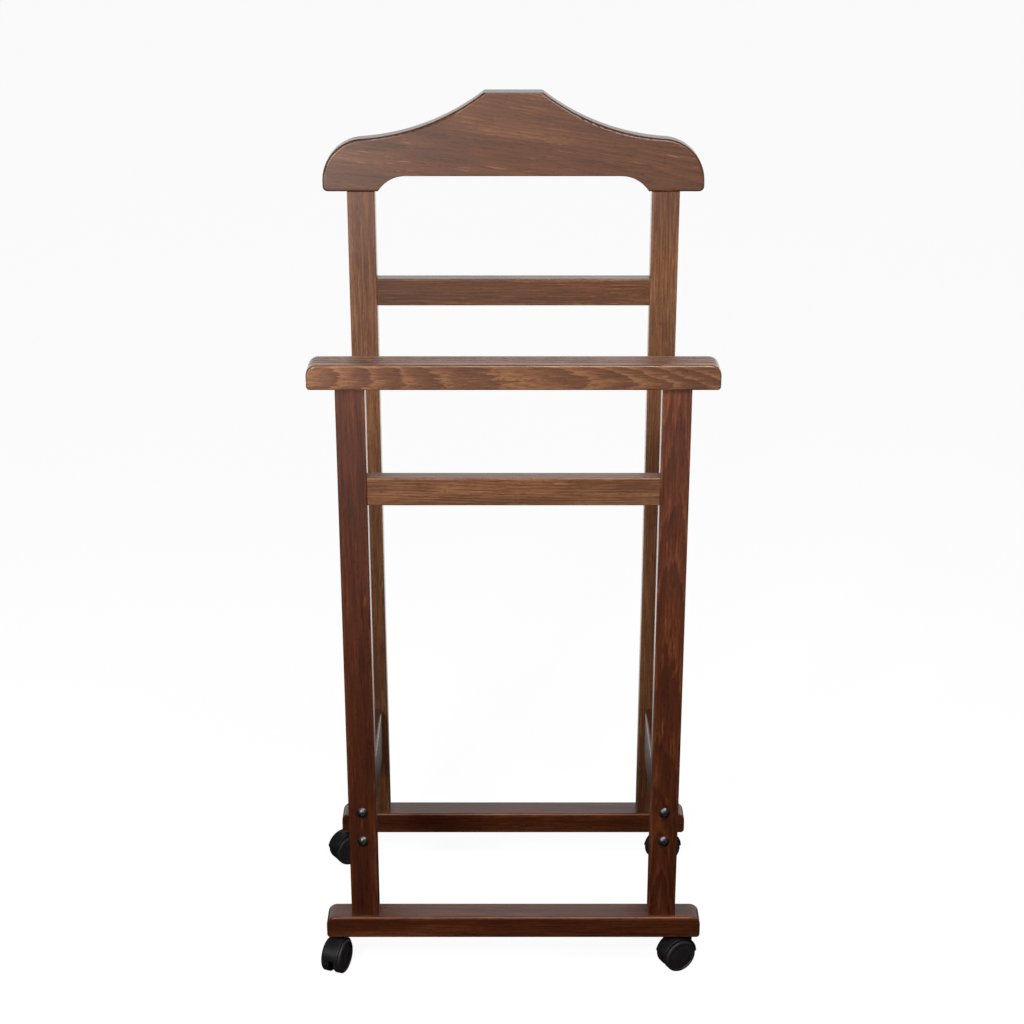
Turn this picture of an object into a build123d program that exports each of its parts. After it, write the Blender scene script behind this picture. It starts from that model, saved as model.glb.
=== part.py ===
from build123d import *
import os
from math import cos, radians, sin

# Valet stand on four casters: two upright frames in stained beech, joined low
# down by two side boards. Millimetres, +Z up, the front of the stand faces -Y.
# The origin is on the floor, under the middle of the footprint. The casters
# trail towards the front and the left, so the frames stand a little behind and
# to the right of the footprint's middle.
frames_middle_x = 10.0
frames_middle_y = 10.0

# heights above the floor
overall_height = 998.0
foot_underside = 46.0
front_rail_bottom = 593.7
trouser_bar_bottom = 728.4
rear_rail_bottom = 749.6
hanger_bottom = 885.0
side_board_middle = 193.0

# the two frames
frame_spacing = 241.0
leg_middle_x = 174.8
leg_width = 32.0
leg_thickness = 22.0
leg_edge_round = 2.0

# foot bars
foot_length = 441.0
foot_depth = 32.0
foot_height = 28.0
foot_top_corner = 11.0
foot_bottom_corner = 4.0
foot_edge_round = 2.5

# trouser bar
bar_length = 441.0
bar_depth = 35.0
bar_height = 28.0
bar_top_corner = 12.0
bar_bottom_corner = 4.0
bar_edge_round = 2.5
groove_count = 3
groove_pitch = 7.0
groove_width = 2.6
groove_depth = 2.4
first_groove_from_back = 9.0

# rails and side boards
rail_height = 32.0
rail_depth = 18.0
rail_edge_round = 1.5
side_board_height = 60.0
side_board_thickness = 18.0
side_board_edge_round = 3.0

# hanger board, half of its outline measured from the middle
hanger_half_length = 218.5
hanger_half_flat = 33.3
hanger_slope_radius = 258.0
hanger_slope_centre_x = 190.0
hanger_shoulder_radius = 49.0
hanger_arch_height = 903.0
hanger_arch_half_flat = 123.5
hanger_arch_radius = 37.0
hanger_bottom_corner = 6.0
hanger_thickness = 22.0
hanger_shoulder_round = 3.0
hanger_edge_round = 1.0

# dowels, and how far every cut runs out past the face it starts from
dowel_radius = 4.0
dowel_clearance = 0.05
dowel_end_space = 1.0
dowel_end_chamfer = 0.8
run_out = 1.0
foot_dowel_depth = 18.0
rail_dowel_depth = 18.0
bar_dowel_depth = 16.0
hanger_dowel_depth = 26.0
dowel_half_spacing = 8.0
rail_dowel_half_spacing = 7.0

# furniture bolts and the barrel nuts that they draw up
bolt_half_spacing = 19.0
bolt_shank_radius = 3.0
thread_play = 0.05
bolt_hole_radius = 3.3
bolt_length = 52.0
bolt_end_space = 3.0
bolt_head_radius = 6.6
bolt_head_height = 3.6
bolt_socket_across_flats = 4.0
bolt_socket_depth = 2.0
barrel_radius = 5.0
barrel_length = 14.0
barrel_clearance = 0.1
barrel_from_board_end = 22.0
barrel_slot_width = 1.4
barrel_slot_depth = 1.2

# casters: a steel stem turns in a sleeve pushed up into the foot bar
stem_from_foot_end = 15.1
sleeve_radius = 5.5
sleeve_length = 21.0
sleeve_flange_radius = 8.0
sleeve_flange_height = 1.2
sleeve_end_thickness = 1.0
stem_radius = 4.0
stem_play = 0.05
stem_end_chamfer = 1.0
stem_depth_in_hood = 5.0
stem_depth_in_sleeve = 19.0
caster_trail = 13.0
wheel_radius = 20.0
wheel_inner_y = 2.9
wheel_outer_y = 12.4
wheel_rim_round = 2.4
wheel_face_recess = 0.9
wheel_rim_flat = 0.9
wheel_face_step = 0.5
wheel_inner_chamfer = 1.0
axle_radius = 2.5
axle_play = 0.05
axle_half_length = 8.6
axle_end_chamfer = 0.5
axle_end_space = 0.4
web_half_thickness = 2.5
hub_radius = 12.0
hood_inner_radius = 20.8
hood_outer_radius = 22.9
hood_half_width = 9.6
hood_edge_round = 0.9
hood_top = 44.4
hood_boss_radius = 7.4
hood_lip_height = 20.5
hood_skirt_height = 24.5

# direction in which each caster trails, in degrees from +X
caster_trail_angle = {
    "front_left": 250.0,
    "front_right": 208.0,
    "rear_left": 214.0,
    "rear_right": 208.0,
}

# derived positions, measured from the middle of the two frames
front_y = -frame_spacing / 2
rear_y = frame_spacing / 2
foot_top = foot_underside + foot_height
stem_x = foot_length / 2 - stem_from_foot_end
leg_inner_x = leg_middle_x - leg_width / 2
sides = {"left": -1, "right": 1}
rows = {"front": front_y, "rear": rear_y}


def upright_cylinder(radius, bottom, top):
    """A cylinder along Z between two heights."""
    return Pos(0, 0, (bottom + top) / 2) * Cylinder(radius, top - bottom)


def cross_cylinder(radius, length):
    """A cylinder along Y, centred on the origin."""
    return Rot(90, 0, 0) * Cylinder(radius, length)


def side_cylinder(radius, length):
    """A cylinder along X, centred on the origin."""
    return Rot(0, 90, 0) * Cylinder(radius, length)


def round_face_rims(solid, radius):
    """Rounds the rims of a board's front and back faces."""
    faces = solid.faces().sort_by(Axis.Y)
    return fillet(faces[0].edges() + faces[-1].edges(), radius)


def board_with_round_ends(length, height, depth, top_corner, bottom_corner, edge_round):
    """A long bar with rounded ends, its underside at Z = 0."""
    outline = Plane.XZ * Pos(0, height / 2) * Rectangle(length, height)
    outline = fillet(outline.vertices().group_by(Axis.Z)[-1], top_corner)
    outline = fillet(outline.vertices().group_by(Axis.Z)[0], bottom_corner)
    return round_face_rims(extrude(outline, depth / 2, both=True), edge_round)


def dowel(length):
    """A beech dowel along Z with chamfered ends."""
    pin = Cylinder(dowel_radius, length)
    return chamfer(pin.edges().filter_by(GeomType.CIRCLE), dowel_end_chamfer)


def dowel_hole(depth):
    """The hole for a dowel: a cylinder along Z from below 0 to just past depth."""
    return upright_cylinder(dowel_radius + dowel_clearance, -run_out, depth + dowel_end_space)


def foot_dowel_places():
    """Middles of the joints between legs and foot bars."""
    return [
        (side * leg_middle_x + offset, row, foot_top)
        for row in rows.values()
        for side in sides.values()
        for offset in (-dowel_half_spacing, dowel_half_spacing)
    ]


def bolt_heights():
    """Heights of the two bolts in each leg."""
    return (side_board_middle - bolt_half_spacing, side_board_middle + bolt_half_spacing)


def foot_bar(row):
    """Foot bar: stands on two casters and carries the two legs of its frame."""
    bar = board_with_round_ends(
        foot_length, foot_height, foot_depth, foot_top_corner, foot_bottom_corner, foot_edge_round
    )
    bar = Pos(0, row, foot_underside) * bar
    for x, y, z in foot_dowel_places():
        if y == row:
            bar -= Pos(x, y, z) * Rot(180, 0, 0) * dowel_hole(foot_dowel_depth)
    for side in sides.values():
        sleeve_hole = upright_cylinder(sleeve_radius, -run_out, sleeve_length)
        bar -= Pos(side * stem_x, row, foot_underside) * sleeve_hole
    return bar


def leg(side, row, top, top_dowel_depth, rail_bottom):
    """A leg: dowelled to its foot bar, its rail and the board on top of it."""
    length = top - foot_top
    post = Box(leg_width, leg_thickness, length)
    post = fillet(post.edges().filter_by(Axis.Z), leg_edge_round)
    post = Pos(side * leg_middle_x, row, foot_top + length / 2) * post
    for offset in (-dowel_half_spacing, dowel_half_spacing):
        x = side * leg_middle_x + offset
        post -= Pos(x, row, foot_top) * dowel_hole(foot_dowel_depth)
        post -= Pos(x, row, top) * Rot(180, 0, 0) * dowel_hole(top_dowel_depth)
    for offset in (-rail_dowel_half_spacing, rail_dowel_half_spacing):
        z = rail_bottom + rail_height / 2 + offset
        hole = Rot(0, side * 90, 0) * dowel_hole(rail_dowel_depth)
        post -= Pos(side * leg_inner_x, row, z) * hole
    for z in bolt_heights():
        bolt_hole = cross_cylinder(bolt_hole_radius, leg_thickness + 2 * run_out)
        post -= Pos(side * leg_middle_x, row, z) * bolt_hole
    return post


def rail(row, bottom):
    """A rail between the two legs of a frame, dowelled at both ends."""
    length = 2 * leg_inner_x
    beam = Box(length, rail_depth, rail_height)
    beam = fillet(beam.edges().filter_by(Axis.X), rail_edge_round)
    beam = Pos(0, row, bottom + rail_height / 2) * beam
    for side in sides.values():
        for offset in (-rail_dowel_half_spacing, rail_dowel_half_spacing):
            z = bottom + rail_height / 2 + offset
            hole = Rot(0, -side * 90, 0) * dowel_hole(rail_dowel_depth)
            beam -= Pos(side * leg_inner_x, row, z) * hole
    return beam


def trouser_bar():
    """The bar that trousers hang over, with grooves along its back that stop them slipping."""
    bar = board_with_round_ends(
        bar_length, bar_height, bar_depth, bar_top_corner, bar_bottom_corner, bar_edge_round
    )
    for number in range(groove_count):
        y = bar_depth / 2 - first_groove_from_back - number * groove_pitch
        groove = Box(bar_length + 2 * run_out, groove_width, 2 * groove_depth)
        bar -= Pos(0, y, bar_height) * groove
    bar = Pos(0, front_y, trouser_bar_bottom) * bar
    for side in sides.values():
        for offset in (-dowel_half_spacing, dowel_half_spacing):
            x = side * leg_middle_x + offset
            bar -= Pos(x, front_y, trouser_bar_bottom) * dowel_hole(bar_dowel_depth)
    return bar


def hanger_half_outline():
    """Right half of the hanger board: a hollow slope, a round shoulder and half the arch."""
    flat_from_centre = hanger_slope_centre_x - hanger_half_flat
    slope_centre_z = overall_height + (hanger_slope_radius**2 - flat_from_centre**2) ** 0.5
    shoulder_centre_x = hanger_half_length - hanger_shoulder_radius
    centres_apart = hanger_slope_radius + hanger_shoulder_radius
    centres_across = hanger_slope_centre_x - shoulder_centre_x
    shoulder_centre_z = slope_centre_z - (centres_apart**2 - centres_across**2) ** 0.5

    def slope_height(x):
        return slope_centre_z - (hanger_slope_radius**2 - (hanger_slope_centre_x - x) ** 2) ** 0.5

    def arch_height(x):
        rise = (hanger_arch_radius**2 - (x - hanger_arch_half_flat) ** 2) ** 0.5
        return hanger_arch_height - hanger_arch_radius + rise

    # the slope and the shoulder meet where the line between their centres crosses them
    slope_end_x = hanger_slope_centre_x - centres_across * hanger_slope_radius / centres_apart
    slope_middle_x = (hanger_half_flat + slope_end_x) / 2
    slope_start = (hanger_half_flat, overall_height)
    slope_middle = (slope_middle_x, slope_height(slope_middle_x))
    slope_end = (slope_end_x, slope_height(slope_end_x))
    diagonal = hanger_shoulder_radius * cos(radians(45))
    shoulder_middle = (shoulder_centre_x + diagonal, shoulder_centre_z + diagonal)
    shoulder_end = (hanger_half_length, shoulder_centre_z)

    drop = hanger_arch_radius - (hanger_arch_height - hanger_bottom)
    arch_end_x = hanger_arch_half_flat + (hanger_arch_radius**2 - drop**2) ** 0.5
    arch_middle_x = (hanger_arch_half_flat + arch_end_x) / 2
    arch_end = (arch_end_x, hanger_bottom)
    arch_middle = (arch_middle_x, arch_height(arch_middle_x))
    arch_start = (hanger_arch_half_flat, hanger_arch_height)

    outer_corner = (hanger_half_length, hanger_bottom)
    edges = [
        Line((0, overall_height), slope_start),
        ThreePointArc(slope_start, slope_middle, slope_end),
        ThreePointArc(slope_end, shoulder_middle, shoulder_end),
        Line(shoulder_end, outer_corner),
        Line(outer_corner, arch_end),
        ThreePointArc(arch_end, arch_middle, arch_start),
        Line(arch_start, (0, hanger_arch_height)),
        Line((0, hanger_arch_height), (0, overall_height)),
    ]
    return make_face(edges)


def is_on_shoulder(edge):
    """Whether an edge of the hanger's face runs along a slope, shoulder, end or lobe."""
    beyond_flat = abs(edge.center().X) > hanger_half_flat
    on_arch = abs(edge.center().X) < leg_inner_x and edge.center().Z < hanger_arch_height + 1
    return beyond_flat and not on_arch


def hanger_board():
    """The shaped board on top of the rear legs that carries a jacket."""
    half = hanger_half_outline()
    outline = half + mirror(half, Plane.YZ)
    corners = outline.vertices().group_by(Axis.X)
    outline = fillet(corners[0].sort_by(Axis.Y)[0], hanger_bottom_corner)
    corners = outline.vertices().group_by(Axis.X)
    outline = fillet(corners[-1].sort_by(Axis.Y)[0], hanger_bottom_corner)
    board = extrude(Plane.XZ * outline, hanger_thickness / 2, both=True)
    faces = board.faces().sort_by(Axis.Y)
    rims = faces[0].edges() + faces[-1].edges()
    board = fillet(rims.filter_by(is_on_shoulder), hanger_shoulder_round)
    faces = board.faces().filter_by(Axis.Y).sort_by(Axis.Y)
    rims = faces[0].edges() + faces[-1].edges()
    board = fillet(rims.filter_by(is_on_shoulder, reverse=True), hanger_edge_round)
    board = Pos(0, rear_y, 0) * board
    for side in sides.values():
        for offset in (-dowel_half_spacing, dowel_half_spacing):
            x = side * leg_middle_x + offset
            board -= Pos(x, rear_y, hanger_bottom) * dowel_hole(hanger_dowel_depth)
    return board


def barrel_places(side):
    """Middles of the four barrel nuts in one side board."""
    reach = frame_spacing / 2 - leg_thickness / 2 - barrel_from_board_end
    return [(side * leg_middle_x, end * reach, z) for end in (-1, 1) for z in bolt_heights()]


def side_board(side):
    """A side board, bolted between the front and rear legs on its side."""
    length = frame_spacing - leg_thickness
    board = Box(side_board_thickness, length, side_board_height)
    board = fillet(board.edges().filter_by(Axis.Y), side_board_edge_round)
    board = Pos(side * leg_middle_x, 0, side_board_middle) * board
    hole_depth = bolt_length - leg_thickness + bolt_end_space
    for x, y, z in barrel_places(side):
        end = 1 if y > 0 else -1
        hole_y = end * (length + run_out - hole_depth) / 2
        board -= Pos(x, hole_y, z) * cross_cylinder(bolt_hole_radius, hole_depth + run_out)
        pocket_length = side_board_thickness / 2 + barrel_length / 2
        pocket = side_cylinder(barrel_radius + barrel_clearance, pocket_length)
        board -= Pos(x + side * (side_board_thickness - barrel_length) / 4, y, z) * pocket
    return board


def bolt():
    """A dome-headed furniture bolt along +Y, its head on the face at Y = 0."""
    shank = Pos(0, bolt_length / 2, 0) * cross_cylinder(bolt_shank_radius, bolt_length)
    sphere_radius = (bolt_head_radius**2 + bolt_head_height**2) / (2 * bolt_head_height)
    dome = Pos(0, sphere_radius - bolt_head_height, 0) * Sphere(sphere_radius)
    head_block = Pos(0, -bolt_head_height / 2, 0) * cross_cylinder(bolt_head_radius, bolt_head_height)
    head = dome & head_block
    socket_radius = bolt_socket_across_flats / 2 / cos(radians(30))
    socket = extrude(Plane.XZ * RegularPolygon(socket_radius, 6), bolt_head_height + run_out)
    return shank + (head - Pos(0, bolt_socket_depth - bolt_head_height, 0) * socket)


def row_of_bolts(row_name):
    """The four bolts of one frame, two through each leg."""
    turn = 0 if row_name == "front" else 180
    outward = -1 if row_name == "front" else 1
    face_y = rows[row_name] + outward * leg_thickness / 2
    bolts = []
    for side in sides.values():
        for z in bolt_heights():
            bolts.append(Pos(side * leg_middle_x, face_y, z) * Rot(0, 0, turn) * bolt())
    return Compound(bolts)


def barrel_nuts():
    """Eight slotted barrel nuts, pushed into the side boards from outside."""
    nuts = []
    for side in sides.values():
        nut = side_cylinder(barrel_radius, barrel_length)
        nut -= cross_cylinder(bolt_shank_radius + thread_play, 2 * (barrel_radius + run_out))
        slot = Box(2 * barrel_slot_depth, barrel_slot_width, 2 * barrel_radius)
        nut -= Pos(side * barrel_length / 2, 0, 0) * Rot(90, 0, 0) * slot
        for place in barrel_places(side):
            nuts.append(Pos(*place) * nut)
    return Compound(nuts)


def foot_dowels():
    """Dowels between the legs and the foot bars."""
    pin = dowel(2 * foot_dowel_depth)
    return Compound([Pos(*place) * pin for place in foot_dowel_places()])


def rail_dowels():
    """Dowels between the rails and the legs."""
    pins = []
    for row, bottom in ((front_y, front_rail_bottom), (rear_y, rear_rail_bottom)):
        for side in sides.values():
            for offset in (-rail_dowel_half_spacing, rail_dowel_half_spacing):
                z = bottom + rail_height / 2 + offset
                pin = Rot(0, 90, 0) * dowel(2 * rail_dowel_depth)
                pins.append(Pos(side * leg_inner_x, row, z) * pin)
    return Compound(pins)


def top_dowels():
    """Dowels between the legs and the trouser bar or hanger board on top of them."""
    pins = []
    joints = (
        (front_y, trouser_bar_bottom, bar_dowel_depth),
        (rear_y, hanger_bottom, hanger_dowel_depth),
    )
    for row, z, depth in joints:
        for side in sides.values():
            for offset in (-dowel_half_spacing, dowel_half_spacing):
                pins.append(Pos(side * leg_middle_x + offset, row, z) * dowel(2 * depth))
    return Compound(pins)


def caster_sleeves():
    """Four flanged sleeves, pushed up into the foot bars, in which the stems turn."""
    sleeves = []
    for row in rows.values():
        for side in sides.values():
            sleeve = upright_cylinder(sleeve_radius, 0, sleeve_length)
            sleeve += upright_cylinder(sleeve_flange_radius, -sleeve_flange_height, 0)
            bore_bottom = -sleeve_flange_height - run_out
            bore_top = sleeve_length - sleeve_end_thickness
            sleeve -= upright_cylinder(stem_radius + stem_play, bore_bottom, bore_top)
            sleeves.append(Pos(side * stem_x, row, foot_underside) * sleeve)
    return Compound(sleeves)


# Caster pieces are made with the stem on the Z axis and the wheels trailing to +X.


def about_axle(piece):
    """Moves a piece made about the Y axis to the wheels' axle."""
    return Pos(caster_trail, 0, wheel_radius) * piece


def caster_hood():
    """Hood: a boss for the stem, a web that holds the axle and a guard round the wheels."""
    guard_middle = (hood_inner_radius + hood_outer_radius) / 2
    guard_section = Rectangle(hood_outer_radius - hood_inner_radius, 2 * hood_half_width)
    outer_corners = guard_section.vertices().group_by(Axis.X)[-1]
    guard_section = fillet(outer_corners, hood_edge_round)
    guard = about_axle(revolve(Pos(guard_middle, 0) * guard_section, Axis.Y))
    web_radius = (hood_inner_radius + hood_outer_radius) / 2
    web = about_axle(cross_cylinder(web_radius, 2 * web_half_thickness))
    hub = about_axle(cross_cylinder(hub_radius, 2 * web_half_thickness))
    boss = upright_cylinder(hood_boss_radius, wheel_radius, hood_top)
    wheel_space = about_axle(cross_cylinder(hood_inner_radius, 4 * hood_half_width))
    hood = guard + web + (boss - wheel_space)
    reach = 4 * wheel_radius
    below = Box(reach, reach, reach)
    hood -= Pos(caster_trail - reach / 2, 0, hood_lip_height - reach / 2) * below
    hood -= Pos(caster_trail + reach / 2, 0, hood_skirt_height - reach / 2) * below
    hood += hub
    hood -= about_axle(cross_cylinder(axle_radius, 4 * hood_half_width))
    stem_seat = upright_cylinder(stem_radius, hood_top - stem_depth_in_hood, hood_top + run_out)
    return hood - stem_seat


def caster_stem():
    """Steel stem, pressed into the hood and turning in the sleeve."""
    bottom = hood_top - stem_depth_in_hood
    top = foot_underside + stem_depth_in_sleeve
    stem = upright_cylinder(stem_radius, bottom, top)
    return chamfer(stem.edges().group_by(Axis.Z)[-1], stem_end_chamfer)


def caster_axle():
    """Steel axle, held in the hood's web, that both wheels turn on."""
    axle = cross_cylinder(axle_radius, 2 * axle_half_length)
    return about_axle(chamfer(axle.edges().filter_by(GeomType.CIRCLE), axle_end_chamfer))


def caster_wheel(side):
    """A wheel: rounded rim, recessed outer face and a blind bore for the axle."""
    bore_radius = axle_radius + axle_play
    bore_end = axle_half_length + axle_end_space
    face_y = wheel_outer_y - wheel_face_recess
    rim_inner_radius = wheel_radius - wheel_rim_round - wheel_rim_flat - wheel_face_step
    corner_turn = cos(radians(45)) * wheel_rim_round
    rim_corner = (wheel_radius - wheel_rim_round, wheel_outer_y - wheel_rim_round)
    dome_radius = (rim_inner_radius**2 + wheel_face_recess**2) / (2 * wheel_face_recess)
    dome_rise = (dome_radius**2 - (rim_inner_radius / 2) ** 2) ** 0.5 - dome_radius
    inner_edge = (wheel_radius - wheel_inner_chamfer, wheel_inner_y)
    tread_start = (wheel_radius, wheel_inner_y + wheel_inner_chamfer)
    edges = [
        Line((bore_radius, wheel_inner_y), inner_edge),
        Line(inner_edge, tread_start),
        Line(tread_start, (wheel_radius, rim_corner[1])),
        ThreePointArc(
            (wheel_radius, rim_corner[1]),
            (rim_corner[0] + corner_turn, rim_corner[1] + corner_turn),
            (rim_corner[0], wheel_outer_y),
        ),
        Line((rim_corner[0], wheel_outer_y), (rim_inner_radius + wheel_face_step, wheel_outer_y)),
        Line((rim_inner_radius + wheel_face_step, wheel_outer_y), (rim_inner_radius, face_y)),
        ThreePointArc(
            (rim_inner_radius, face_y),
            (rim_inner_radius / 2, wheel_outer_y + dome_rise),
            (0, wheel_outer_y),
        ),
        Line((0, wheel_outer_y), (0, bore_end)),
        Line((0, bore_end), (bore_radius, bore_end)),
        Line((bore_radius, bore_end), (bore_radius, wheel_inner_y)),
    ]
    wheel = revolve(make_face(edges), Axis.Y)
    return about_axle(wheel if side > 0 else mirror(wheel, Plane.XZ))


def caster_nodes():
    """The five pieces of each caster, turned the way it trails."""
    nodes = {}
    for name, angle in caster_trail_angle.items():
        row_name, side_name = name.split("_")
        place = Pos(sides[side_name] * stem_x, rows[row_name], 0) * Rot(0, 0, angle)
        nodes["caster_hood_" + name] = place * caster_hood()
        nodes["caster_stem_" + name] = place * caster_stem()
        nodes["caster_axle_" + name] = place * caster_axle()
        nodes["caster_wheel_a_" + name] = place * caster_wheel(1)
        nodes["caster_wheel_b_" + name] = place * caster_wheel(-1)
    return nodes


def stand_nodes():
    """Every piece of the two frames and the side boards."""
    nodes = {
        "front_foot_bar": foot_bar(front_y),
        "rear_foot_bar": foot_bar(rear_y),
        "front_rail": rail(front_y, front_rail_bottom),
        "rear_rail": rail(rear_y, rear_rail_bottom),
        "trouser_bar": trouser_bar(),
        "hanger_board": hanger_board(),
        "front_bolts": row_of_bolts("front"),
        "rear_bolts": row_of_bolts("rear"),
        "barrel_nuts": barrel_nuts(),
        "foot_dowels": foot_dowels(),
        "rail_dowels": rail_dowels(),
        "top_dowels": top_dowels(),
        "caster_sleeves": caster_sleeves(),
    }
    for side_name, side in sides.items():
        nodes["front_leg_" + side_name] = leg(
            side, front_y, trouser_bar_bottom, bar_dowel_depth, front_rail_bottom
        )
        nodes["rear_leg_" + side_name] = leg(
            side, rear_y, hanger_bottom, hanger_dowel_depth, rear_rail_bottom
        )
        nodes["side_board_" + side_name] = side_board(side)
    return nodes


os.makedirs("parts", exist_ok=True)
to_footprint_middle = Pos(frames_middle_x, frames_middle_y, 0)
for node, shape in {**stand_nodes(), **caster_nodes()}.items():
    export_step(to_footprint_middle * shape, "parts/" + node + ".step")
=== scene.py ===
import math

import bpy
from mathutils import Euler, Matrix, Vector


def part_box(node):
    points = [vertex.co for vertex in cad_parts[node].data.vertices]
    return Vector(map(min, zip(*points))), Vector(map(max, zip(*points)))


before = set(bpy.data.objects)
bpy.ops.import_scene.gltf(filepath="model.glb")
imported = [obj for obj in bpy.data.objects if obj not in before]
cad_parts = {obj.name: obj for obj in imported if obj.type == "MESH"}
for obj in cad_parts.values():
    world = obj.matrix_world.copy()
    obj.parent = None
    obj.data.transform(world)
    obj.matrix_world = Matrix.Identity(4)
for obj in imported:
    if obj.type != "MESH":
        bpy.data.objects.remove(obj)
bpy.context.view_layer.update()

# ---------------------------------------------------------------- foot bars
# The two foot bars are planed beech, 28 x 32 mm, with rounded ends. They are
# stained walnut and sprayed with a satin varnish, so the grain shows through
# a thin, slightly uneven film. Each carries two dowelled legs and two casters.

# growth rings: metres from one to the next, and how pale the wood is on the
# way through a ring, from the early wood at 0 to the dark late wood before 1
ring_gap = 0.0028
ring_paleness = ((0.0, 1.0), (0.3, 0.6), (0.88, 0.1), (1.0, 1.0))

# a name ending in cells is how many cells of noise there are to a metre, here
# along the grain and then twice across it; one ending in reach is in metres
wander_cells = (1.6, 13.0, 13.0)
wander_reach = 0.026
torn_cells = (45.0, 330.0, 330.0)
torn_reach = 0.0022
fibre_cells = (24.0, 620.0, 620.0)
band_cells = (3.5, 48.0, 48.0)
band_strength = 1.15
fleck_cells = (170.0, 1500.0, 1500.0)
fleck_limits = (0.62, 0.74)
fleck_strength = 0.24
streak_cells = (30.0, 300.0, 300.0)
streak_limits = (0.63, 0.76)
streak_strength = 0.38

# the long edges, lightened partly where sanding thins the stain and partly as a
# painted highlight along their rounding: how far in from the edge the lightening
# begins, and how far in it is full, in metres
wear_and_highlight_start = 0.0040
wear_and_highlight_full = 0.0006
wear_and_highlight_cells = (30.0, 90.0, 90.0)

# the varnish
gloss_cells = (14.0, 60.0, 60.0)
satin_roughness = (0.34, 0.50)
varnish_weight = 0.5
varnish_roughness = 0.24
varnish_index = 1.5
pore_depth = 0.0003
pore_strength = 0.22
fibre_relief = 0.5
fleck_relief = 0.6

# a stain's colour on the dark, middle and light parts of the grain, and how
# light a board is, from 0 to 1, before its grain is added
red_stain = ((0.042, 0.0078, 0.0024), (0.118, 0.0255, 0.0066), (0.29, 0.084, 0.025))
plain_level = 0.45

turn_to_grain = {
    "X": Euler((0.0, 0.0, 0.0)),
    "Y": Euler((0.0, 0.0, math.radians(-90.0))),
    "Z": Euler((0.0, math.radians(90.0), 0.0)),
}


def add_node(tree, kind, inputs=None, **settings):
    """Adds a shader node, sets its options, and fills or links its inputs."""
    made = tree.nodes.new("ShaderNode" + kind)
    for option, value in settings.items():
        setattr(made, option, value)
    for key, value in (inputs or {}).items():
        if isinstance(value, bpy.types.NodeSocket):
            tree.links.new(value, made.inputs[key])
        else:
            made.inputs[key].default_value = value
    return made


def math_node(tree, operation, first, second=0.0):
    """One arithmetic step on one or two numbers."""
    return add_node(tree, "Math", {0: first, 1: second}, operation=operation).outputs[0]


def vector_node(tree, operation, first, second=(0.0, 0.0, 0.0)):
    """One arithmetic step on one or two vectors."""
    return add_node(tree, "VectorMath", {0: first, 1: second}, operation=operation)


def rescale(tree, value, start, end, low=0.0, high=1.0, curve="LINEAR"):
    """A value that runs from start to end, made to run from low to high."""
    limits = {"From Min": start, "From Max": end, "To Min": low, "To Max": high}
    made = add_node(tree, "MapRange", {"Value": value, **limits}, interpolation_type=curve)
    return made.outputs[0]


def stretched_noise(tree, coords, cells, detail=2.0, roughness=0.5, output="Fac"):
    """Noise with its own number of cells to a metre along each axis."""
    mapped = add_node(tree, "Mapping", {"Vector": coords, "Scale": cells}).outputs[0]
    fineness = {"Scale": 1.0, "Detail": detail, "Roughness": roughness}
    return add_node(tree, "TexNoise", {"Vector": mapped, **fineness}).outputs[output]


def centred(tree, value, gain):
    """A value from 0 to 1 moved to swing about zero, times a gain."""
    return math_node(tree, "MULTIPLY", math_node(tree, "SUBTRACT", value, 0.5), gain)


def ramp(tree, value, stops):
    """A colour ramp through (position, colour) stops."""
    made = add_node(tree, "ValToRGB", {"Fac": value})
    elements = made.color_ramp.elements
    while len(elements) < len(stops):
        elements.new(0.5)
    for element, (position, colour) in zip(elements, stops):
        element.position = position
        element.color = (*colour, 1.0)
    return made.outputs[0]


def new_finish(name):
    """A new material, its node tree, its surface shader and the piece's own coordinates."""
    material = bpy.data.materials.new(name)
    material.use_nodes = True
    tree = material.node_tree
    place = add_node(tree, "TexCoord").outputs["Object"]
    return material, tree, tree.nodes["Principled BSDF"], place


def lay_in_trunk(tree, place, middle, grain, heart, tilt):
    """Coordinates of the tree that a board was sawn from: X up the trunk, its heart at zero."""
    off_grain = Euler((0.0, math.radians(tilt[0]), math.radians(tilt[1])))
    turn = off_grain.to_matrix() @ turn_to_grain[grain].to_matrix()
    shift = Vector((0.0, heart[0], heart[1])) - turn @ middle
    laid = {"Vector": place, "Location": shift, "Rotation": turn.to_euler()}
    return add_node(tree, "Mapping", laid).outputs[0]


def bend_trunk(tree, board):
    """Lets the rings wander a little along the trunk, as no tree grows straight."""
    wander = stretched_noise(tree, board, wander_cells, output="Color")
    swing = vector_node(tree, "SUBTRACT", wander, (0.5, 0.5, 0.5)).outputs[0]
    bend = vector_node(tree, "MULTIPLY", swing, (wander_reach,) * 3).outputs[0]
    return vector_node(tree, "ADD", board, bend).outputs[0]


def year_rings(tree, board, trunk):
    """How pale the wood is in its year rings, which have slightly torn edges."""
    across = vector_node(tree, "MULTIPLY", trunk, (0.0, 1.0, 1.0)).outputs[0]
    radius = vector_node(tree, "LENGTH", across).outputs["Value"]
    torn = stretched_noise(tree, board, torn_cells, detail=3.0, roughness=0.6)
    ragged = math_node(tree, "ADD", radius, centred(tree, torn, torn_reach))
    through_ring = math_node(tree, "FRACT", math_node(tree, "DIVIDE", ragged, ring_gap))
    return ramp(tree, through_ring, [(at, (pale,) * 3) for at, pale in ring_paleness])


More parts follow.
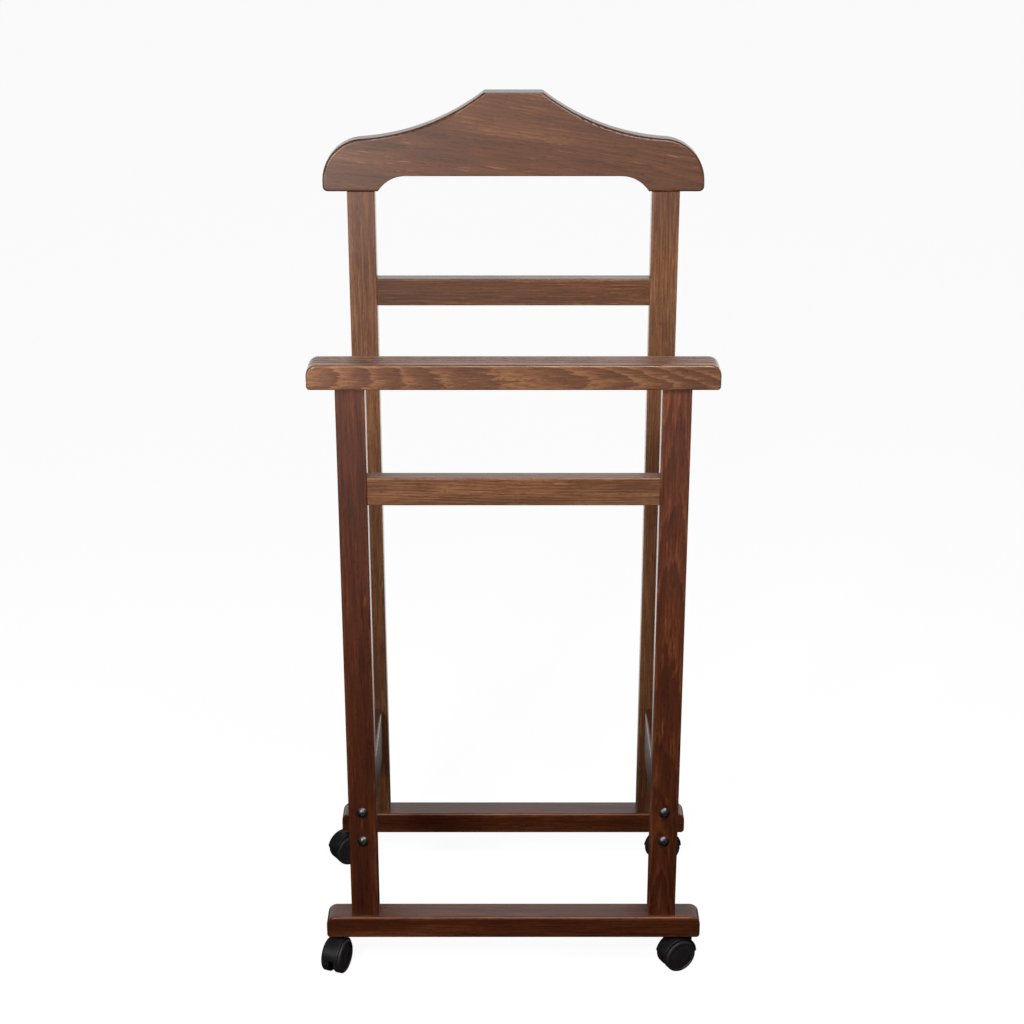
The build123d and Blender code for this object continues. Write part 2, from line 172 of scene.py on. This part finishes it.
def edge_wear_and_highlight_mask(tree, place, board, low, high, grain):
    """1 along the board's four long edges, in patches, and 0 away from them. It marks the edges that
    are lightened, partly as worn stain and partly as a painted highlight on their rounding.
    """
    off_middle = vector_node(tree, "SUBTRACT", place, (low + high) / 2).outputs[0]
    apart = vector_node(tree, "ABSOLUTE", off_middle).outputs[0]
    parts = add_node(tree, "SeparateXYZ", {0: apart})
    patches = stretched_noise(tree, board, wear_and_highlight_cells)
    wear_and_highlight = patches
    for axis in "XYZ".replace(grain, ""):
        half = (high - low)["XYZ".index(axis)] / 2
        near = rescale(
            tree, parts.outputs[axis], half - wear_and_highlight_start, half - wear_and_highlight_full, curve="SMOOTHSTEP"
        )
        wear_and_highlight = math_node(tree, "MULTIPLY", wear_and_highlight, near)
    return wear_and_highlight


def stained_beech(node, stain, grain, heart, tilt, rings=0.22, fibre=1.2, edge_wear_and_highlight=0.35, tone=0.0):
    """Stained and varnished beech for one board.

    stain gives the dark, middle and light colours, grain is the axis that the
    board was cut along, heart is where the middle of the tree lay across the
    board, in metres, and tilt is how far the grain runs off the board's length,
    in degrees. rings and fibre are how strongly the year rings and the fibres
    show, the edge setting is how far the long edges are lightened, partly as stain
    rubbed off and partly as a painted highlight along their rounding, and tone
    makes the whole board lighter.
    """
    material, tree, surface, place = new_finish("stained_beech_" + node)
    low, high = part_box(node)
    board = lay_in_trunk(tree, place, (low + high) / 2, grain, heart, tilt)
    trunk = bend_trunk(tree, board)

    # year rings, fibres and broad bands, which take the stain unevenly
    pale = year_rings(tree, board, trunk)
    fibres = stretched_noise(tree, board, fibre_cells, detail=4.0, roughness=0.7)
    bands = stretched_noise(tree, board, band_cells, detail=4.0, roughness=0.62)
    level = math_node(tree, "ADD", centred(tree, pale, rings), plain_level + tone)
    level = math_node(tree, "ADD", level, centred(tree, fibres, fibre))
    level = math_node(tree, "ADD", level, centred(tree, bands, band_strength))

    # beech's fine ray flecks, which take the most stain
    flecks = stretched_noise(tree, board, fleck_cells, detail=0.0)
    flecks = rescale(tree, flecks, *fleck_limits, curve="SMOOTHSTEP")
    level = math_node(
        tree, "SUBTRACT", level, math_node(tree, "MULTIPLY", flecks, fleck_strength)
    )

    # pale streaks, where the stain took badly
    streaks = stretched_noise(tree, trunk, streak_cells, detail=2.0, roughness=0.6)
    streaks = rescale(tree, streaks, *streak_limits, curve="SMOOTHSTEP")
    level = math_node(
        tree, "ADD", level, math_node(tree, "MULTIPLY", streaks, streak_strength)
    )

    # lighten the long edges: partly worn stain, partly a painted highlight on their rounding
    if edge_wear_and_highlight:
        wear_and_highlight = edge_wear_and_highlight_mask(tree, place, board, low, high, grain)
        level = math_node(tree, "ADD", level, math_node(tree, "MULTIPLY", wear_and_highlight, edge_wear_and_highlight))
    colour = ramp(tree, level, [(0.0, stain[0]), (0.5, stain[1]), (1.0, stain[2])])
    tree.links.new(colour, surface.inputs["Base Color"])

    # the film varies in gloss and follows the pores faintly
    gloss = stretched_noise(tree, board, gloss_cells, detail=3.0)
    tree.links.new(rescale(tree, gloss, 0.0, 1.0, *satin_roughness), surface.inputs["Roughness"])
    height = math_node(
        tree,
        "SUBTRACT",
        math_node(tree, "MULTIPLY", fibres, fibre_relief),
        math_node(tree, "MULTIPLY", flecks, fleck_relief),
    )
    relief = {"Strength": pore_strength, "Distance": pore_depth, "Height": height}
    tree.links.new(add_node(tree, "Bump", relief).outputs[0], surface.inputs["Normal"])
    surface.inputs["Coat Weight"].default_value = varnish_weight
    surface.inputs["Coat Roughness"].default_value = varnish_roughness
    surface.inputs["Coat IOR"].default_value = varnish_index
    return material


def finish_node(node, material):
    """Gives a CAD node its finish."""
    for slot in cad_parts[node].material_slots:
        slot.material = material


foot_boards = {
    "front_foot_bar": dict(heart=(0.055, 0.030), tilt=(0.4, 0.8)),
    "rear_foot_bar": dict(heart=(-0.040, 0.045), tilt=(-0.5, 0.6)),
}
# the foot bars get the strongest edge lightening: worn stain and a painted highlight along the
# rounded top front edge
for node, board in foot_boards.items():
    finish_node(node, stained_beech(node, red_stain, "X", edge_wear_and_highlight=1.0, tone=0.06, **board))

# --------------------------------------------------------------------- legs
# Four beech legs, 32 x 22 mm with softened edges, dowelled up from the foot
# bars. The short pair carries the trouser bar, the tall pair the hanger board.
# Each is cut from a different board, so the figure differs from leg to leg.

brown_stain = ((0.058, 0.0175, 0.0065), (0.148, 0.0500, 0.0170), (0.33, 0.145, 0.057))
front_legs = {
    "front_leg_left": dict(heart=(0.070, 0.020), tilt=(0.7, -0.4), rings=0.15, tone=-0.09),
    "front_leg_right": dict(heart=(0.060, 0.003), tilt=(0.0, 1.9), rings=0.36, tone=0.04),
}
rear_legs = {
    "rear_leg_left": dict(heart=(-0.060, 0.035), tilt=(-0.6, 0.5), rings=0.2, tone=0.14),
    "rear_leg_right": dict(heart=(0.030, 0.030), tilt=(0.8, 0.9), rings=0.25, tone=0.13),
}
for legs, stain in ((front_legs, red_stain), (rear_legs, brown_stain)):
    for node, board in legs.items():
        finish_node(node, stained_beech(node, stain, "Z", **board))

# -------------------------------------------------------------------- rails
# A plain beech rail, 32 x 18 mm, ties each pair of legs together under the bar
# or board on top of them. Its ends are dowelled and glued to the legs.

rails = {
    "front_rail": dict(heart=(0.045, 0.060), tilt=(0.9, 1.4), rings=0.3, tone=0.1),
    "rear_rail": dict(heart=(-0.050, 0.050), tilt=(0.5, -0.7)),
}
for node, board in rails.items():
    finish_node(node, stained_beech(node, brown_stain, "X", **board))

# -------------------------------------------------------------- side boards
# Two beech boards, 60 x 18 mm, hold the frames apart. They stand on edge
# between the front and rear legs and are drawn up tight by furniture bolts.

side_boards = {
    "side_board_left": dict(heart=(0.050, 0.060), tilt=(0.8, 0.5)),
    "side_board_right": dict(heart=(0.060, -0.055), tilt=(-0.7, 0.6)),
}
for node, board in side_boards.items():
    finish_node(node, stained_beech(node, red_stain, "Y", **board))

# -------------------------------------------------------------- trouser bar
# The bar over the front legs is flat-sawn, so its rings run out along the face
# in broad flames. The three grooves along its top keep trousers from sliding.

flat_sawn = dict(heart=(0.085, 0.006), tilt=(0.0, 3.6), rings=0.5, tone=0.11)
finish_node("trouser_bar", stained_beech("trouser_bar", brown_stain, "X", **flat_sawn))

# ------------------------------------------------------------- hanger board
# The shoulders that carry a jacket, sawn from one wide beech board 22 mm thick
# and rounded over all round. It sits on the rear legs on two dowels each.

wide_board = dict(heart=(0.080, 0.020), tilt=(-8.0, 1.2), rings=0.2, fibre=0.8, edge_wear_and_highlight=0.0, tone=-0.1)
finish_node("hanger_board", stained_beech("hanger_board", brown_stain, "X", **wide_board))

# ------------------------------------------------------------------- dowels
# Beech dowels, 8 mm thick with chamfered ends, are glued into the ends of the
# legs and rails and into what they meet. They are left unstained, because
# they are out of sight in their holes once the frames are together.

raw_cells = (500.0, 500.0, 60.0)
raw_limits = (0.3, 0.7)
raw_dark = (0.50, 0.32, 0.18)
raw_light = (0.70, 0.50, 0.31)
raw_roughness = 0.7


def plain_beech():
    """Raw beech with fine upright fibres."""
    material, tree, surface, place = new_finish("plain_beech")
    fibres = stretched_noise(tree, place, raw_cells, detail=3.0)
    colour = ramp(tree, fibres, [(raw_limits[0], raw_dark), (raw_limits[1], raw_light)])
    tree.links.new(colour, surface.inputs["Base Color"])
    surface.inputs["Roughness"].default_value = raw_roughness
    return material


raw_beech = plain_beech()
for node in ("foot_dowels", "rail_dowels", "top_dowels"):
    finish_node(node, raw_beech)

# -------------------------------------------------------- bolts, barrel nuts
# Dome-headed furniture bolts with a hexagon socket, plated dark bronze, pass
# through the legs into slotted, zinc-plated barrel nuts in the side boards.

# spread is how far the roughness falls below and rises above its usual value
blotch_cells = (450.0, 450.0, 450.0)
blotch_limits = (0.35, 0.65)
scuff_cells = (2600.0, 2600.0, 400.0)
scuff_spread = (-0.08, 0.1)
scuff_strength = 0.1
fine_depth = 0.0001


def fine_bump(tree, surface, height, strength):
    """Relief about a tenth of a millimetre deep, from a height between 0 and 1."""
    relief = {"Strength": strength, "Distance": fine_depth, "Height": height}
    tree.links.new(add_node(tree, "Bump", relief).outputs[0], surface.inputs["Normal"])


def vary_roughness(tree, surface, pattern, roughness, spread):
    """Lets a pattern between 0 and 1 move the roughness through its spread."""
    rough = rescale(tree, pattern, 0.0, 1.0, roughness + spread[0], roughness + spread[1])
    tree.links.new(rough, surface.inputs["Roughness"])


def plated_steel(name, colour, roughness, mottle):
    """Plated steel with faint blotches and fine scuffs; mottle is how much darker a blotch is."""
    material, tree, surface, place = new_finish(name)
    blotches = stretched_noise(tree, place, blotch_cells, detail=3.0)
    dark = tuple(channel * (1.0 - mottle) for channel in colour)
    plating = ramp(tree, blotches, [(blotch_limits[0], dark), (blotch_limits[1], colour)])
    tree.links.new(plating, surface.inputs["Base Color"])
    scuffs = stretched_noise(tree, place, scuff_cells)
    vary_roughness(tree, surface, scuffs, roughness, scuff_spread)
    fine_bump(tree, surface, scuffs, scuff_strength)
    surface.inputs["Metallic"].default_value = 1.0
    return material


bronzed = plated_steel("bronzed_steel", (0.20, 0.195, 0.185), roughness=0.40, mottle=0.35)
zinc = plated_steel("zinc_plated_steel", (0.62, 0.63, 0.60), roughness=0.30, mottle=0.15)
finish_node("front_bolts", bronzed)
finish_node("rear_bolts", bronzed)
finish_node("barrel_nuts", zinc)

# ------------------------------------------------------------------ casters
# Four 40 mm twin-wheel casters in black nylon. A steel stem turns in a sleeve
# in the foot bar; the hood carries the axle, and a wheel spins on each end.

dust_cells = (90.0, 90.0, 90.0)
dust_limits = (0.4, 0.75)
dust_spread = (-0.06, 0.12)
dust_gain = 1.9
dust_veil = 0.004
spark_cells = (2200.0, 2200.0, 2200.0)
spark_strength = 0.12


def black_nylon(name, colour, roughness):
    """Moulded nylon with a fine spark texture and a little dust."""
    material, tree, surface, place = new_finish(name)
    dust = stretched_noise(tree, place, dust_cells, detail=4.0, roughness=0.6)
    dusty = tuple(channel * dust_gain + dust_veil for channel in colour)
    shade = ramp(tree, dust, [(dust_limits[0], colour), (dust_limits[1], dusty)])
    tree.links.new(shade, surface.inputs["Base Color"])
    vary_roughness(tree, surface, dust, roughness, dust_spread)
    fine_bump(tree, surface, stretched_noise(tree, place, spark_cells, detail=1.0), spark_strength)
    return material


hood_nylon = black_nylon("hood_nylon", (0.0125, 0.0125, 0.0140), roughness=0.36)
wheel_nylon = black_nylon("wheel_nylon", (0.0330, 0.0275, 0.0295), roughness=0.40)
finish_node("caster_sleeves", hood_nylon)
for corner in ("front_left", "front_right", "rear_left", "rear_right"):
    finish_node("caster_hood_" + corner, hood_nylon)
    finish_node("caster_stem_" + corner, zinc)
    finish_node("caster_axle_" + corner, zinc)
    finish_node("caster_wheel_a_" + corner, wheel_nylon)
    finish_node("caster_wheel_b_" + corner, wheel_nylon)

# -------------------------------------------------------------------- floor
# A plain white floor. What the camera sees of it is an even white that keeps
# soft shadows; the varnish mirrors a floor that is dim close to the stand and
# white further out, as a stand on a studio's sweep does.

# reach is where, in metres behind the stand's middle, the mirrored floor
# starts and stops changing, and glow is how bright it is at those two places
floor_half = 12.0
floor_grey = 0.25
floor_white = 0.93
pure_white = (1.0, 1.0, 1.0, 1.0)
front_reach = (-1.2, -2.6)
front_glow = (0.01, 0.6)
rear_reach = (0.35, 0.85)
rear_glow = (0.0, 1.4)

floor_mesh = bpy.data.meshes.new("floor")
floor_mesh.from_pydata(
    [
        (-floor_half, -floor_half, 0.0),
        (floor_half, -floor_half, 0.0),
        (floor_half, floor_half, 0.0),
        (-floor_half, floor_half, 0.0),
    ],
    [],
    [(0, 1, 2, 3)],
)
floor = bpy.data.objects.new("floor", floor_mesh)
bpy.context.scene.collection.objects.link(floor)

floor_paint, paint, unused_surface, place = new_finish("floor_paint")
paint.nodes.remove(unused_surface)
depth = add_node(paint, "SeparateXYZ", {0: place}).outputs["Y"]
in_front = rescale(paint, depth, *front_reach, *front_glow)
behind = rescale(paint, depth, *rear_reach, *rear_glow)
mirrored = add_node(paint, "Emission", {"Strength": math_node(paint, "ADD", in_front, behind)})
lit = add_node(paint, "BsdfDiffuse", {"Color": (floor_grey, floor_grey, floor_grey, 1.0)})
white = add_node(paint, "Emission", {"Color": pure_white, "Strength": floor_white})
seen = add_node(paint, "AddShader", {0: lit.outputs[0], 1: white.outputs[0]})
by_camera = add_node(paint, "LightPath").outputs["Is Camera Ray"]
either = add_node(
    paint, "MixShader", {0: by_camera, 1: mirrored.outputs[0], 2: seen.outputs[0]}
)
paint.links.new(either.outputs[0], paint.nodes["Material Output"].inputs["Surface"])
floor_mesh.materials.append(floor_paint)

# --------------------------------------------------------- studio and lights
# A white wall behind the stand, with a dim ceiling and front, is what the
# varnish and the wheels mirror; the camera itself sees white on every side.
# Two soft lights hang in front, one low at the left and one high at the right.

wall_limits = (0.70, 0.98)
wall_glow = (0.04, 1.3)

world = bpy.data.worlds.new("studio")
bpy.context.scene.world = world
world.use_nodes = True
room = world.node_tree
sky = room.nodes["Background"]
sky.inputs["Color"].default_value = pure_white
looking = add_node(room, "SeparateXYZ", {0: add_node(room, "TexCoord").outputs["Generated"]})
wall = rescale(room, looking.outputs["Y"], *wall_limits, *wall_glow, curve="SMOOTHSTEP")
seen_wall = add_node(room, "LightPath").outputs["Is Camera Ray"]
room.links.new(math_node(room, "MAXIMUM", wall, seen_wall), sky.inputs["Strength"])


def softbox(name, place, aim, width, height, power):
    """A soft rectangular studio light, pointed at aim; sizes in metres, power in watts."""
    lamp = bpy.data.lights.new(name, "AREA")
    lamp.shape = "RECTANGLE"
    lamp.size = width
    lamp.size_y = height
    lamp.energy = power
    made = bpy.data.objects.new(name, lamp)
    made.location = place
    made.rotation_euler = (Vector(aim) - Vector(place)).to_track_quat("-Z", "Y").to_euler()
    made.visible_camera = False
    bpy.context.scene.collection.objects.link(made)


softbox("key_light", (-0.55, -1.05, 0.95), (-0.20, 0.0, 0.98), width=0.26, height=0.45, power=7.5)
softbox("high_light", (0.25, -0.80, 1.45), (0.0, 0.05, 0.95), width=0.7, height=0.4, power=9.5)

# ------------------------------------------------------------------- camera
# A short telephoto lens straight ahead of the stand and a little above it,
# tipped down so that the tops of the bars show.

sensor_width = 36.0
focal_length = 72.92
camera_place = (0.0084, -2.2190, 1.4271)
tipped_down = 21.823

camera_data = bpy.data.cameras.new("camera")
camera_data.sensor_width = sensor_width
camera_data.lens = focal_length
camera = bpy.data.objects.new("camera", camera_data)
camera.location = camera_place
camera.rotation_euler = (math.radians(90.0 - tipped_down), 0.0, 0.0)
bpy.context.scene.collection.objects.link(camera)
bpy.context.scene.camera = camera
bpy.context.scene.view_settings.view_transform = "Standard"
